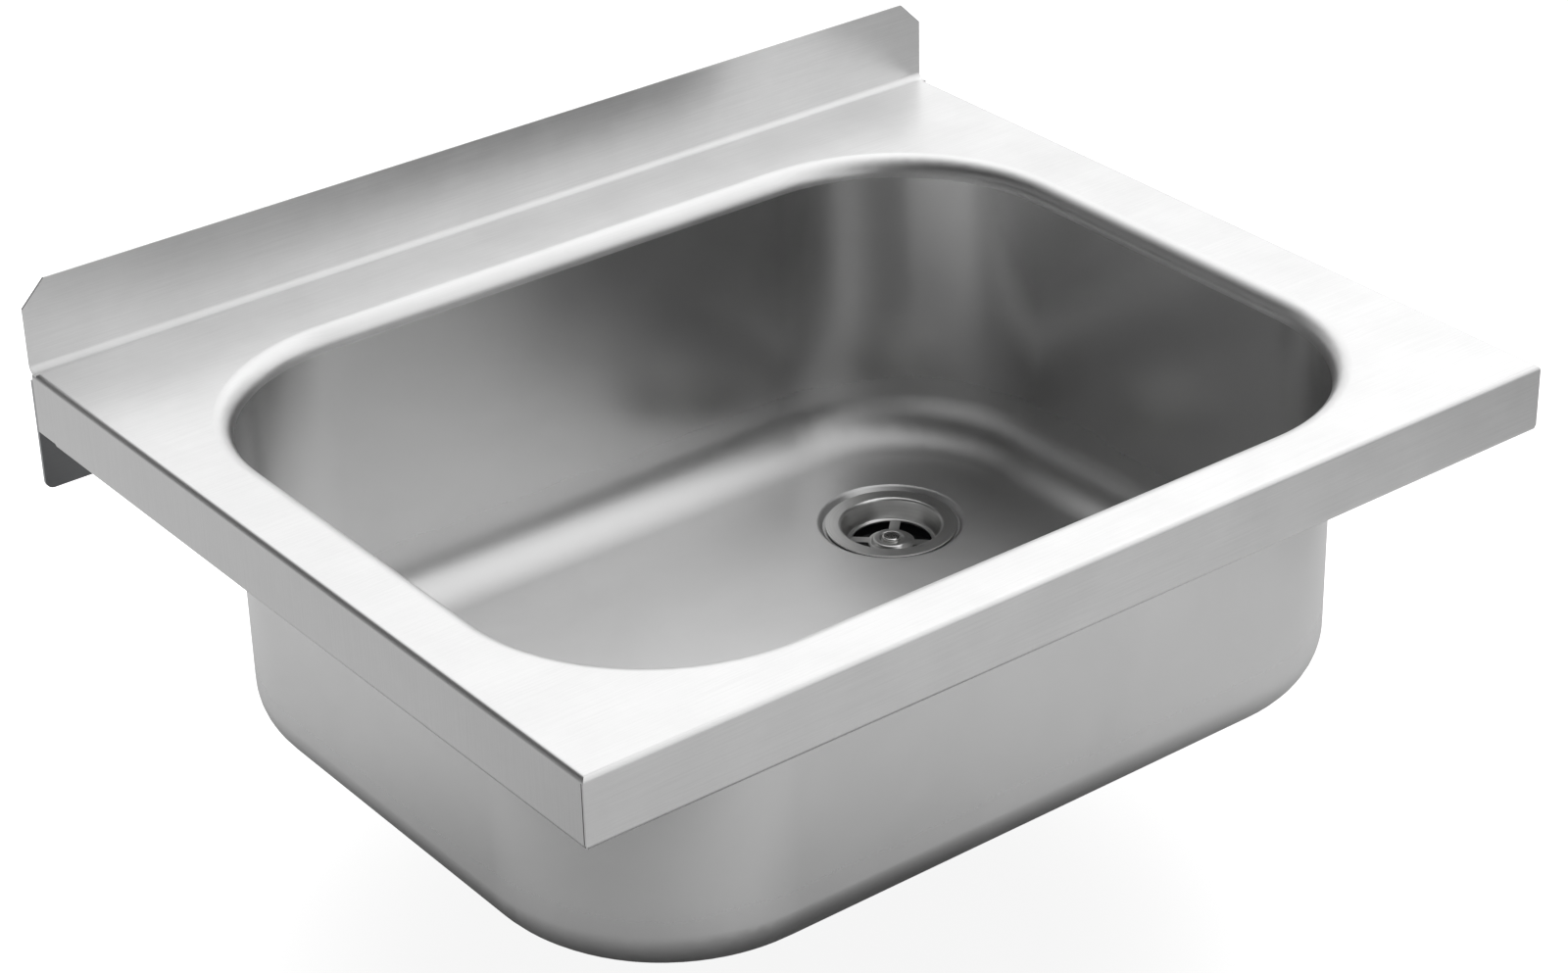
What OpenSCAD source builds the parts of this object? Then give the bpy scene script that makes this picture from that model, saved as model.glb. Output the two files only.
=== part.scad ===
// Wall-hung stainless steel slop sink: a folded deck with an upstand, a deep-drawn bowl
// welded under its rim, a rear wall rail and an inch-and-a-half strainer waste.
// Millimetres. The wall is the plane y = 0 and the sink reaches towards -y. The origin lies on
// the wall, midway between the two fixing slots of the rail.

/* [Deck] */
// Overall width, left end to right end
deck_w = 600; // [580:5:800]
// Overall depth, wall to front edge
deck_d = 500; // [490:5:600]
// Height of the folded edge, from the deck top to its foot
apron_h = 38; // [30:1:60]
// Thickness of the deck sheet
deck_t = 1.2; // [1:0.1:1.6]
// Outside radius of the folds along the deck edges
fold_r = 3; // [2.4:0.2:4]
// Width of the flange turned inwards at the foot of the apron
return_w = 16; // [12:1:22]
// Outside radius of the fold at the foot of the apron
return_r = 3; // [2.4:0.2:4]
// Length of the side apron next to the wall that has no inward flange
relief_l = 20; // [12:1:40]
// Width of the open seam at the two front corners
seam = 0.6; // [0.4:0.1:1]

/* [Upstand] */
// Height of the upstand above the deck top
upstand_h = 50; // [30:1:100]
// Inside radius of the cove at its foot
cove_r = 4; // [3:0.5:6]
// Corner cut at its two upper ends
upstand_chamfer = 14; // [6:1:20]

/* [Bowl] */
// Inside width of the bowl, left wall to right wall
bowl_w = 510; // [440:5:520]
// Inside depth of the bowl from front wall to back wall
bowl_d = 400; // [360:5:410]
// Depth from the deck top to the bowl floor
bowl_h = 180; // [140:1:240]
// Shift of the bowl to the left of the deck's middle
bowl_shift = 5; // [0:1:8]
// Width of the front rim, deck edge to bowl wall
front_rim = 38; // [34:1:44]
// Plan radius of the bowl corners
corner_r = 104; // [90:1:120]
// Radius of the rolled rim, where the deck turns down into the bowl
rim_r = 10; // [7:0.5:14]
// Straight lip below the rolled rim, down to the weld
rim_lip = 1.5; // [1:0.5:4]
// Step in the wall at the weld, where the bowl stands back from the lip
weld_step = 0.4; // [0.2:0.1:0.6]
// Thickness of the drawn sheet
bowl_t = 1; // [0.8:0.1:1.2]
// Inside radius between wall and floor
foot_r = 28; // [16:1:34]

/* [Waste seat] */
// Distance of the waste from the right wall of the bowl
waste_from_right = 107; // [98:1:130]
// Distance of the waste from the back wall of the bowl
waste_from_back = 102; // [98:1:130]
// Radius of the pressed seat at its mouth in the floor
seat_r = 42.5; // [41:0.5:46]
// Depth of the pressed seat below the floor
seat_d = 3.5; // [3:0.25:4.5]
// Bend radius of the seat, on the middle of the sheet
seat_bend_r = 2; // [1.5:0.1:2.2]
// Radius of the waste hole
waste_hole_r = 31.5; // [31:0.25:33]

/* [Strainer] */
// Radius of the strainer flange
flange_r = 38; // [36.5:0.5:38.5]
// Thickness of the strainer sheet
flange_t = 1; // [0.8:0.1:1.2]
// Outer radius of the strainer well at its mouth
well_r = 30; // [29:0.25:30.5]
// Depth of the strainer well, from the top of the flange to the strainer
well_d = 12; // [10.8:0.6:13.2]
// Outer radius of the four water slots
slot_out_r = 23.5; // [22:0.25:23.75]
// Inner radius of the four water slots
slot_in_r = 13.5; // [13:0.25:15]
// Width of the four arms between the slots
arm_w = 6; // [4:0.5:8]
// Height of the raised ring round the screw
hub_h = 2.4; // [2:0.2:2.8]
// Radius of the top of the raised ring
hub_r = 10; // [9.5:0.25:10.5]
// Depth of the dish inside the ring, in which the screw head sits
hub_dish = 1.2; // [1:0.1:1.6]
// Bend radius at the well's mouth and foot, on the middle of the sheet
well_bend_r = 1.8; // [1.4:0.1:2.2]
// Bend radius of the raised ring, on the middle of the sheet
hub_bend_r = 1; // [0.8:0.1:1.2]
// Bend radius of the dish, on the middle of the sheet
dish_bend_r = 0.7; // [0.6:0.05:0.9]
// Thickness of the seal under the strainer flange
upper_seal_t = 1; // [0.8:0.1:1.5]
// How far both seals stand back from the edges of their flanges
seal_back = 1; // [0.5:0.25:1.5]

/* [Waste body] */
// Thickness of the seal under the bowl
lower_seal_t = 2.5; // [2:0.25:4]
// Radius of the waste body's flange and of the lower seal
body_flange_r = 38; // [37:0.5:41]
// Thickness of the waste body's flange
body_flange_t = 5; // [4:0.5:7]
// Inner radius of the waste body's cup
cup_r = 31; // [30.75:0.25:31.25]
// Wall thickness of the waste body
cup_wall = 3; // [2.5:0.25:4]
// Depth of the cup below the flange top
cup_d = 18; // [16:1:24]
// Height of the funnel between the cup and the outlet
funnel_h = 12; // [10:1:18]
// Outside radius of the threaded outlet
outlet_r = 23.9; // [22:0.1:25]
// Radius of the outlet bore
outlet_bore_r = 19.5; // [18:0.25:20]
// Length of the threaded outlet
outlet_l = 24; // [20:1:40]
// Bevel at the end of the outlet
outlet_bevel = 1.2; // [0.8:0.1:2]
// Radius of the boss that holds the threaded insert
boss_r = 7.5; // [7:0.25:9]
// Thickness of the boss's top, which the insert bears on
boss_top = 3; // [2:0.5:5]
// Gap between the strainer and the boss below it
boss_gap = 6; // [4:0.5:8]
// Clearance of the clamp screw in the boss's top
boss_clear = 0.2; // [0.1:0.05:0.4]
// Thickness of the four ribs that carry the boss
rib_t = 3; // [2:0.25:4]
// How far the ribs end below the boss's face and above its foot
rib_step = 1; // [0.5:0.25:2]

/* [Clamp screw] */
// Radius of the screw shank
screw_r = 2.95; // [2.45:0.05:3]
// Radius of the screw head
screw_head_r = 5.4; // [5:0.1:5.8]
// Height of the screw head
screw_head_h = 2.6; // [2.2:0.1:3.2]
// Rounding of the head's rim
screw_round = 1.2; // [0.8:0.1:1.5]
// Width of the cross slot in the head
cross_w = 1.1; // [0.8:0.1:1.4]
// Length of each cross slot
cross_l = 6; // [5:0.25:7]
// Depth of the cross slot
cross_d = 1.4; // [1:0.1:1.8]
// Screw length past the foot of the insert
screw_past = 2; // [1:0.5:4]
// Outer radius of the insert
insert_r = 4.5; // [4.25:0.25:5]
// Length of the insert
insert_l = 12; // [8:1:14]
// Clearance of the shank in the insert and in the strainer's hole
screw_clear = 0.05; // [0.03:0.01:0.1]
// Clearance of the insert in its pocket
insert_clear = 0.05; // [0.03:0.01:0.1]

/* [Wall rail] */
// Thickness of the rail
rail_t = 2; // [1.5:0.25:3]
// Distance from the deck top to the foot of the rail
rail_drop = 70; // [60:1:90]
// Width of the flange that carries the deck
rail_flange = 26; // [20:1:34]
// Outside radius of the rail's fold
rail_r = 4; // [3.5:0.25:5]
// Radius of the rail's two lower corners
rail_corner_r = 5; // [3:0.5:10]
// Distance of the fold and flange from each end of the rail
rail_inset = 20; // [18:1:40]
// Distance between the two fixing slots
fix_spacing = 480; // [400:10:500]
// Distance from the deck top to the fixing slots
fix_drop = 52; // [48:1:55]
// Half the width of a fixing slot
fix_r = 4.5; // [3.5:0.25:5.5]
// Length of a fixing slot, end to end
fix_l = 20; // [12:1:30]

/* [Sound pad] */
// Width of the damping pad under the floor
pad_w = 250; // [150:10:260]
// Depth of the damping pad, front to back
pad_d = 240; // [150:10:260]
// Thickness of the damping pad
pad_t = 3; // [2:0.5:5]
// Corner radius of the damping pad
pad_r = 12; // [5:1:30]
// Shift of the pad to the left of the bowl's middle
pad_shift = 75; // [70:1:80]

/* [Earth tag] */
// Width of the earth tag
tag_w = 20; // [18:1:30]
// Thickness of the earth tag
tag_t = 1.5; // [1:0.25:2]
// Length of the tag's foot, welded under the deck
tag_foot = 18; // [14:1:24]
// Height of the tag below the deck sheet
tag_h = 26; // [24:1:30]
// Outside radius of the tag's fold
tag_bend_r = 3; // [2.5:0.25:4]
// Distance of the tag's middle from the right end of the deck
tag_from_right = 30; // [28:1:40]
// Distance of the tag's upright face from the wall
tag_from_wall = 60; // [50:1:100]
// Radius of the earth screw's shank
earth_r = 3; // [2.5:0.5:3]
// Clearance of the earth screw in the tag and in its washers
earth_clear = 0.3; // [0.2:0.1:0.5]
// Length of the earth screw below its head
earth_l = 16; // [14:1:25]
// Width across flats of the earth screw's head and nut
earth_flats = 10; // [8:0.5:11]
// Height of the earth screw's head
earth_head_h = 4; // [3:0.5:5]
// Height of the earth nut
earth_nut_h = 5; // [4:0.5:6]
// Outer radius of the washers
washer_r = 6; // [5.5:0.25:7]
// Thickness of the washers
washer_t = 1.6; // [1:0.1:2]
// Clearance of the thread in the nut
thread_clear = 0.05; // [0.03:0.01:0.1]

/* [Hidden] */

// How far pieces of one sheet run into each other where they join, and how far cutters overshoot
lap = 2;
over = 5;
// Half the length of the cores that tie the flats and bends of a bent sheet together
tie = 0.2;
// Sideways run of a pressed wall for each millimetre of its depth, and the same for the well
press_run = 3 / 4;
well_run = 7 / 24;
// Facets of a full circle, which the round surfaces are shown with
round_fn = 96;
steel = [0.78, 0.79, 0.80];
drawn_steel = [0.70, 0.71, 0.72];
rubber = [0.10, 0.10, 0.11];
plastic = [0.14, 0.14, 0.15];
brass = [0.78, 0.62, 0.30];
bitumen = [0.22, 0.22, 0.23];

// Plan of the deck
left = -deck_w / 2;
front = -deck_d;
// Line where the flat deck ends and the cove begins
cove_y = -(cove_r + deck_t);

// Plan of the bowl
bowl_c = [-bowl_shift, front + front_rim + bowl_d / 2];
half_w = bowl_w / 2;
half_d = bowl_d / 2;
arc_x = half_w - corner_r;
arc_y = half_d - corner_r;

// Levels of the bowl, from the deck top down
weld_z = -(rim_r + rim_lip);
floor_z = -bowl_h;
seat_z = floor_z - seat_d;
wall_h = weld_z - floor_z;
// Middle of the wall's sheet, and where the foot's curve has run out and the floor is flat
wall_u = weld_step + bowl_t / 2;
foot_bend_r = foot_r + bowl_t / 2;
flat_u = wall_u - foot_bend_r;

// Place and levels of the waste
waste_c = [bowl_c.x + half_w - waste_from_right, bowl_c.y + half_d - waste_from_back];
flange_top = seat_z + upper_seal_t + flange_t;
strainer_top = flange_top - well_d;
hub_top = strainer_top + hub_h;
head_seat = hub_top - hub_dish;
seat_under = seat_z - bowl_t;
body_top = seat_under - lower_seal_t;
cup_foot = body_top - cup_d;
outlet_top = cup_foot - funnel_h;
outlet_foot = outlet_top - outlet_l;
// Radius of the funnel's foot, which stands proud of the outlet as a shoulder
shoulder_r = outlet_bore_r + 2 * cup_wall;
boss_face = strainer_top - flange_t - boss_gap;
boss_foot = boss_face - boss_top - insert_l;
screw_foot = boss_foot - screw_past;

// Unit vector in the plane at an angle
function dir(a) = [cos(a), sin(a)];
// Heading from one point of the plane to another
function heading(p, q) = atan2(q.y - p.y, q.x - p.x);
// Signed turn from one heading to the next, within half a circle
function turn(a, b) = let (d = b - a) d > 180 ? d - 360 : (d <= -180 ? d + 360 : d);

// Ring sector between two radii, from angle a0 through a sweep of up to a right angle
module bend(inner, outer, a0, sweep) {
    reach = 2 * outer;
    intersection() {
        difference() {
            circle(r = outer, $fn = round_fn);
            circle(r = inner, $fn = round_fn);
        }
        polygon([[0, 0], reach * dir(a0), reach * dir(a0 + sweep / 2), reach * dir(a0 + sweep)]);
    }
}

// Section of a bent sheet, drawn along its middle line with a bend radius at each inner point
module bent_sheet(points, radii, t) {
    last = len(points) - 1;
    heads = [for (i = [0:last - 1]) heading(points[i], points[i + 1])];
    turns = [0, for (i = [1:last - 1]) turn(heads[i - 1], heads[i]), 0];
    cuts = [0, for (i = [1:last - 1]) radii[i - 1] * tan(abs(turns[i]) / 2), 0];
    for (i = [0:last - 1]) {
        run = norm(points[i + 1] - points[i]) - cuts[i] - cuts[i + 1];
        translate(points[i] + cuts[i] * dir(heads[i])) rotate(heads[i]) translate([0, -t / 2])
            square([run, t]);
    }
    for (i = [1:last - 1]) {
        side = sign(turns[i]);
        r = radii[i - 1];
        start = points[i] - cuts[i] * dir(heads[i - 1]);
        centre = start + side * r * dir(heads[i - 1] + 90);
        translate(centre) bend(r - t / 2, r + t / 2, heads[i - 1] - side * 90, turns[i]);
        // cores inside the sheet, across both ends of the bend
        translate(start) rotate(heads[i - 1]) square([2 * tie, t / 2], center = true);
        translate(points[i] + cuts[i] * dir(heads[i])) rotate(heads[i])
            square([2 * tie, t / 2], center = true);
    }
}

// Moves what is drawn from the deck top as zero to its height above the fixing slots
module at_deck() {
    translate([0, 0, fix_drop]) children();
}

// Extrudes a section drawn in y and z along x, from x0 over a length
module along_x(x0, length) {
    translate([x0, 0, 0]) rotate([90, 0, 90]) linear_extrude(length) children();
}

// Extrudes a section drawn in x and z along y, from y0 towards the front over a length
module along_y(y0, length) {
    translate([0, y0, 0]) rotate([90, 0, 0]) linear_extrude(length) children();
}

// Draws its children as they are and again at the other end of the deck
module both_ends() {
    children();
    mirror([1, 0, 0]) children();
}

// Revolves a section about the axis of the waste
module round_waste() {
    translate(waste_c) rotate_extrude($fn = round_fn) children();
}

// Sweeps a section round the bowl: x is the distance outwards from the wall line, y the height
module round_bowl() {
    translate(bowl_c) {
        for (c = [[1, 1, 0], [-1, 1, 90], [-1, -1, 180], [1, -1, 270]])
            translate([c[0] * arc_x, c[1] * arc_y, 0])
                rotate_extrude(start = c[2], angle = 90, $fn = round_fn)
                    translate([corner_r, 0]) children();
        for (a = [0, 180])
            rotate(a) translate([half_w, arc_y, 0]) rotate([90, 0, 0])
                linear_extrude(2 * arc_y) children();
        for (a = [90, 270])
            rotate(a) translate([half_d, arc_x, 0]) rotate([90, 0, 0])
                linear_extrude(2 * arc_x) children();
    }
}

// Outline of the bowl grown by u, as a flat shape
module bowl_plan(u) {
    r = corner_r + u;
    translate(bowl_c) {
        square([2 * (half_w + u), 2 * arc_y], center = true);
        square([2 * arc_x, 2 * (half_d + u)], center = true);
        for (x = [-arc_x, arc_x], y = [-arc_y, arc_y]) translate([x, y]) circle(r = r, $fn = round_fn);
    }
}

// Rectangle of the deck's section across the width, its two upper corners rounded
module width_section(inset) {
    r = fold_r - inset;
    w = deck_w - 2 * inset;
    difference() {
        translate([-w / 2, -apron_h - over]) square([w, apron_h + over - inset]);
        for (s = [-1, 1]) translate([s * (w / 2 - r), -inset - r]) difference() {
            translate([s > 0 ? 0 : -r - over, 0]) square([r + over, r + over]);
            circle(r = r, $fn = round_fn);
        }
    }
}

// The same rectangle along the depth, with only the front upper corner rounded
module depth_section(inset) {
    r = fold_r - inset;
    difference() {
        translate([front + inset, -apron_h - over]) square([deck_d - inset, apron_h + over - inset]);
        translate([front + inset + r, -inset - r]) difference() {
            translate([-r - over, 0]) square([r + over, r + over]);
            circle(r = r, $fn = round_fn);
        }
    }
}

// Tray shape of the deck at an inset from its outer faces: a full body, round along its edges
module tray_form(inset) {
    intersection() {
        along_y(over, deck_d + 2 * over) width_section(inset);
        along_x(left - over, deck_w + 2 * over) depth_section(inset);
    }
}

// Fold at the foot of an apron and its flange, drawn inwards from the apron's outer face at 0
module return_section() {
    bent_sheet([[deck_t / 2, -apron_h + return_r + lap], [deck_t / 2, -apron_h + deck_t / 2],
                [return_w, -apron_h + deck_t / 2]], [return_r - deck_t / 2], deck_t);
}

// Top sheet with its folded edges, the rolled rim of the bowl opening and the upstand
module deck_sheet() {
    color(steel) at_deck() {
        // flat top, folds and aprons, open at the wall and below
        difference() {
            tray_form(0);
            tray_form(deck_t);
            translate([left - over, front - over, -apron_h - 2 * over])
                cube([deck_w + 2 * over, deck_d + 2 * over, return_r + 2 * over]);
            translate([left - over, -rail_t, -apron_h - over])
                cube([deck_w + 2 * over, 2 * over, apron_h + 2 * over]);
            // the sides stay whole below the cove, which has a narrow slit under it
            translate([left - over, cove_y, -deck_t - seam / 2])
                cube([deck_w + 2 * over, 2 * over, fold_r + over]);
            translate([0, 0, -over]) linear_extrude(2 * over) bowl_plan(rim_r);
            // open seams between the front apron and the side aprons
            both_ends() translate([left - over, front + deck_t, -apron_h - over])
                cube([deck_t + over, seam, apron_h + over - fold_r]);
        }
        // rolled rim of the bowl opening
        round_bowl() bent_sheet([[rim_r + lap, -deck_t / 2], [deck_t / 2, -deck_t / 2],
                                 [deck_t / 2, weld_z]], [rim_r - deck_t / 2], deck_t);
        // upstand with its cove and cut corners
        intersection() {
            along_x(left, deck_w)
                bent_sheet([[cove_y - lap, -deck_t / 2], [-deck_t / 2, -deck_t / 2],
                            [-deck_t / 2, upstand_h]], [cove_r + deck_t / 2], deck_t);
            along_y(over, deck_d) upstand_front();
        }
        // inward flanges, mitred at the front corners
        both_ends() intersection() {
            along_y(-relief_l, deck_d - relief_l - deck_t - seam)
                translate([left, 0]) return_section();
            translate([0, 0, -apron_h - over]) linear_extrude(apron_h)
                polygon([[left - over, front - over + 2 * seam], [left - over, over],
                         [left + return_w + over, over],
                         [left + return_w + over, front + return_w + over + 2 * seam]]);
        }
        intersection() {
            along_x(left, deck_w) translate([front, 0]) return_section();
            translate([0, 0, -apron_h - over]) linear_extrude(apron_h)
                polygon([[left + deck_t - seam, front - over], [left + deck_t - seam, front + deck_t],
                         [left + return_w + over, front + return_w + over],
                         [-left - return_w - over, front + return_w + over],
                         [-left - deck_t + seam, front + deck_t],
                         [-left - deck_t + seam, front - over]]);
        }
    }
}

// Front view of the upstand, with its two upper corners cut off
module upstand_front() {
    polygon([[left, -over], [-left, -over], [-left, upstand_h - upstand_chamfer],
             [-left - upstand_chamfer, upstand_h], [left + upstand_chamfer, upstand_h],
             [left, upstand_h - upstand_chamfer]]);
}

// Deep-drawn bowl: upright wall, rounded foot, flat floor and the pressed seat of the waste
module bowl() {
    mid = -bowl_t / 2;
    color(drawn_steel) at_deck() translate([0, 0, floor_z]) {
        round_bowl() bent_sheet([[wall_u, wall_h], [wall_u, mid], [flat_u - lap, mid]],
                                [foot_bend_r], bowl_t);
        translate([0, 0, -bowl_t]) linear_extrude(bowl_t) difference() {
            bowl_plan(flat_u);
            translate(waste_c) circle(r = seat_r + lap, $fn = round_fn);
        }
        round_waste() bent_sheet([[seat_r + 2 * lap, mid], [seat_r, mid],
                                  [seat_r - press_run * seat_d, mid - seat_d],
                                  [waste_hole_r, mid - seat_d]],
                                 [seat_bend_r, seat_bend_r], bowl_t);
    }
}

// Angle rail at the wall: it carries the deck and has the two fixing slots
module wall_rail() {
    color(steel) difference() {
        union() {
            at_deck() along_x(left + rail_inset, deck_w - 2 * rail_inset)
                bent_sheet([[-rail_flange, -deck_t - rail_t / 2], [-rail_t / 2, -deck_t - rail_t / 2],
                            [-rail_t / 2, -deck_t - rail_r - lap]], [rail_r - rail_t / 2], rail_t);
            at_deck() along_y(0, rail_t) rail_face();
        }
        for (s = [-1, 1]) translate([s * fix_spacing / 2, over, 0]) rotate([90, 0, 0])
            linear_extrude(rail_t + 2 * over) slot_hole(fix_l, fix_r);
    }
}

// Front view of the rail's upright, with its two lower corners rounded
module rail_face() {
    r = rail_corner_r;
    top = -deck_t - rail_r;
    translate([left, -rail_drop + r]) square([deck_w, rail_drop - r + top]);
    translate([left + r, -rail_drop]) square([deck_w - 2 * r, 2 * r]);
    for (s = [-1, 1]) translate([s * (-left - r), -rail_drop + r]) circle(r = r, $fn = round_fn);
}

// Slot with round ends, lying along x
module slot_hole(length, r) {
    square([length - 2 * r, 2 * r], center = true);
    for (s = [-1, 1]) translate([s * (length / 2 - r), 0]) circle(r = r, $fn = round_fn);
}

// Pressed strainer: flange, well, four water slots with arms between them, and a raised hub
module strainer() {
    flange_mid = -flange_t / 2;
    well_mid = flange_mid - well_d;
    hub_mid = well_mid + hub_h;
    dish_mid = hub_mid - hub_dish;
    mouth_r = well_r - flange_t / 2;
    dish_r = screw_head_r + flange_t;
    color(steel) at_deck() translate([0, 0, flange_top]) difference() {
        round_waste() bent_sheet([[flange_r, flange_mid], [mouth_r, flange_mid],
                                  [mouth_r - well_run * well_d, well_mid],
                                  [hub_r + press_run * hub_h, well_mid], [hub_r, hub_mid],
                                  [dish_r + press_run * hub_dish, hub_mid], [dish_r, dish_mid],
                                  [screw_r + screw_clear, dish_mid]],
                                 [well_bend_r, well_bend_r, hub_bend_r, hub_bend_r, dish_bend_r,
                                  dish_bend_r], flange_t);
        translate([waste_c.x, waste_c.y, -well_d - flange_t - over]) linear_extrude(2 * over)
            difference() {
                circle(r = slot_out_r, $fn = round_fn);
                circle(r = slot_in_r, $fn = round_fn);
                for (a = [45, 135]) rotate(a) square([4 * slot_out_r, arm_w], center = true);
            }
    }
}

// Flat ring about the axis of the waste
module waste_ring(inner, outer, z0, height) {
    translate([waste_c.x, waste_c.y, z0]) difference() {
        cylinder(r = outer, h = height, $fn = round_fn);
        translate([0, 0, -over]) cylinder(r = inner, h = height + 2 * over, $fn = round_fn);
    }
}

// Thin seal between the strainer flange and the pressed seat
module upper_seal() {
    color(rubber) at_deck() waste_ring(waste_hole_r, flange_r - seal_back, seat_z, upper_seal_t);
}

// Thick seal between the bowl and the waste body
module lower_seal() {
    color(rubber) at_deck()
        waste_ring(waste_hole_r, body_flange_r - seal_back, body_top, lower_seal_t);
}

// Waste body: flange, cup, funnel and outlet, with a boss on four ribs for the clamp screw
module waste_body() {
    color(plastic) at_deck() difference() {
        union() {
            difference() {
                round_waste() polygon([[0, body_top], [body_flange_r, body_top],
                    [body_flange_r, body_top - body_flange_t],
                    [cup_r + cup_wall, body_top - body_flange_t], [cup_r + cup_wall, cup_foot],
                    [shoulder_r, outlet_top], [outlet_r, outlet_top],
                    [outlet_r, outlet_foot + outlet_bevel],
                    [outlet_r - outlet_bevel, outlet_foot], [0, outlet_foot]]);
                round_waste() polygon([[0, body_top + over], [cup_r, body_top + over], [cup_r, cup_foot],
                    [outlet_bore_r, outlet_top], [outlet_bore_r, outlet_foot - over],
                    [0, outlet_foot - over]]);
            }
            translate([waste_c.x, waste_c.y, boss_foot])
                cylinder(r = boss_r, h = boss_face - boss_foot, $fn = round_fn);
            for (a = [45:90:315]) translate(waste_c) rotate([90, 0, a]) translate([0, 0, -rib_t / 2])
                linear_extrude(rib_t) rib();
        }
        translate([waste_c.x, waste_c.y, boss_foot - over])
            cylinder(r = insert_r + insert_clear, h = insert_l + over, $fn = round_fn);
        translate([waste_c.x, waste_c.y, boss_foot])
            cylinder(r = screw_r + boss_clear, h = boss_face - boss_foot + over, $fn = round_fn);
    }
}

// Side view of one rib, from inside the boss out into the wall of the cup and funnel
module rib() {
    root = boss_r - lap / 2;
    wall_mid = cup_wall / 2;
    top = boss_face - rib_step;
    foot = boss_foot + rib_step;
    polygon([[root, top], [cup_r + wall_mid, top], [cup_r + wall_mid, cup_foot],
             [outlet_bore_r + wall_mid, outlet_top], [outlet_bore_r + wall_mid, foot], [root, foot]]);
}

// Threaded insert, drawn up against the boss's top by the screw
module screw_insert() {
    color(brass) at_deck() waste_ring(screw_r + screw_clear, insert_r, boss_foot, insert_l);
}

// Clamp screw with a low round head and a cross slot
module clamp_screw() {
    crown_r = screw_head_r - screw_round;
    crown_h = screw_head_h - screw_round;
    color(steel) at_deck() difference() {
        union() {
            translate([waste_c.x, waste_c.y, screw_foot])
                cylinder(r = screw_r, h = head_seat - screw_foot + lap, $fn = round_fn);
            translate([0, 0, head_seat]) round_waste() {
                square([screw_head_r, crown_h]);
                square([crown_r, screw_head_h]);
                translate([crown_r, crown_h]) circle(r = screw_round, $fn = round_fn);
            }
        }
        for (a = [45, 135]) translate([waste_c.x, waste_c.y, head_seat + screw_head_h]) rotate(a)
            cube([cross_l, cross_w, 2 * cross_d], center = true);
    }
}

// Damping pad stuck under the bowl floor
module sound_pad() {
    x = pad_w / 2 - pad_r;
    y = pad_d / 2 - pad_r;
    color(bitumen) at_deck() translate([bowl_c.x - pad_shift, bowl_c.y, floor_z - bowl_t - pad_t])
        linear_extrude(pad_t) {
            square([pad_w, pad_d - 2 * pad_r], center = true);
            square([pad_w - 2 * pad_r, pad_d], center = true);
            for (i = [-x, x], j = [-y, y]) translate([i, j]) circle(r = pad_r, $fn = round_fn);
        }
}

// Places what belongs to the earth tag: the axis of its screw runs along z, towards the front
module at_tag() {
    at_deck() translate([-left - tag_from_right, -tag_from_wall, -deck_t - tag_h + tag_w / 2])
        rotate([90, 0, 0]) children();
}

// Earth tag: a foot welded under the deck and an upright with the screw's hole
module earth_tag() {
    color(steel) difference() {
        at_deck() intersection() {
            along_x(-left - tag_from_right - tag_w / 2, tag_w)
                bent_sheet([[-tag_from_wall + tag_foot, -deck_t - tag_t / 2],
                            [-tag_from_wall - tag_t / 2, -deck_t - tag_t / 2],
                            [-tag_from_wall - tag_t / 2, -deck_t - tag_h]],
                           [tag_bend_r - tag_t / 2], tag_t);
            along_y(0, deck_d) translate([-left - tag_from_right, -deck_t - tag_h + tag_w / 2]) {
                circle(d = tag_w, $fn = round_fn);
                translate([-tag_w / 2, 0]) square([tag_w, tag_h]);
            }
        }
        at_tag() translate([0, 0, -over]) cylinder(r = earth_r + earth_clear, h = 4 * over, $fn = round_fn);
    }
}

// Six-sided prism with its width across flats, standing on z = 0
module hexagon(flats, height) {
    cylinder(d = flats / cos(30), h = height, $fn = 6);
}

// Earth screw: its head lies on the wall side of the tag
module earth_screw() {
    color(steel) at_tag() {
        translate([0, 0, -washer_t - earth_head_h]) hexagon(earth_flats, earth_head_h);
        translate([0, 0, -washer_t - lap]) cylinder(r = earth_r, h = earth_l + lap, $fn = round_fn);
    }
}

// One washer on each side of the tag
module earth_washers() {
    color(steel) at_tag() for (z = [-washer_t, tag_t]) translate([0, 0, z]) difference() {
        cylinder(r = washer_r, h = washer_t, $fn = round_fn);
        translate([0, 0, -over]) cylinder(r = earth_r + earth_clear, h = washer_t + 2 * over, $fn = round_fn);
    }
}

// Nut on the front side of the tag
module earth_nut() {
    color(brass) at_tag() translate([0, 0, tag_t + washer_t]) difference() {
        hexagon(earth_flats, earth_nut_h);
        translate([0, 0, -over])
            cylinder(r = earth_r + thread_clear, h = earth_nut_h + 2 * over, $fn = round_fn);
    }
}

deck_sheet();
bowl();
wall_rail();
strainer();
upper_seal();
lower_seal();
waste_body();
screw_insert();
clamp_screw();
sound_pad();
earth_tag();
earth_screw();
earth_washers();
earth_nut();
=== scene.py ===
"""Wall-hung stainless steel slop sink, dressed for a studio picture.

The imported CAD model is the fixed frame. It stays where it is: here its pieces get their finishes,
two of them get real threads, and the stage, the lamp and the camera are set up round them.
Metres, z up, the wall at y = 0.
"""

import math

import bmesh
import bpy
from bpy.props import FloatProperty, FloatVectorProperty, PointerProperty, StringProperty
from mathutils import Matrix, Vector


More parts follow.
